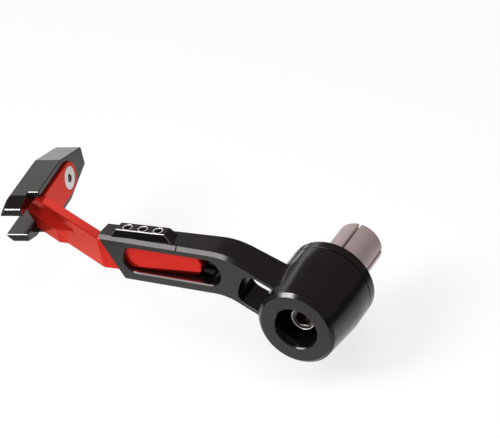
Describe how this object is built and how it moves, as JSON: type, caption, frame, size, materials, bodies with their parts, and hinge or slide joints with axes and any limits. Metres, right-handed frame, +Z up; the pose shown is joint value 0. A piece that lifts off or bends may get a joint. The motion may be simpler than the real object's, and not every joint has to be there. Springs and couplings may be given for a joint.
{
  "type": "brake lever guard",
  "caption": "Handlebar-end brake lever guard: turned hub on a split collet, windowed arm, ribbed slider held by set screws, and a forked paddle at the tip.",
  "frame": {"origin": "on the handlebar's axis, where the spacer ring meets the bar's end", "axes": "+X runs into the handlebar, +Y runs forward along the straight part of the arm, +Z is up, the side of the set screws"},
  "size_m": [0.0713, 0.153, 0.0417],
  "materials": {
    "black_anodised": "black anodised, satin, machined",
    "red_anodised": "red anodised, satin, machined",
    "collet_alloy": "bare, turned, satin",
    "dark_steel": "blackened, bright on the worn rims",
    "screw_steel": "plated, satin"
  },
  "bodies": {
    "bar_fixing": {"spacer_ring": "black_anodised", "bar_spigot": "collet_alloy", "bar_collet": "collet_alloy", "wedge_nut": "collet_alloy", "clamp_bolt": "dark_steel"},
    "arm": {"guard_arm": "black_anodised", "set_screws": "dark_steel"},
    "slider": {"slider_arm": "red_anodised", "end_paddle": "black_anodised", "paddle_screw": "screw_steel"}
  },
  "joints": [
    {"name": "guard_swivel", "type": "hinge", "parent": "bar_fixing", "child": "arm", "pos_m": [0, 0, 0], "axis": [1, 0, 0], "continuous": true},
    {"name": "reach_slide", "type": "slide", "parent": "arm", "child": "slider", "axis": [0, 1, 0], "range_m": [0, 0.013]}
  ]
}
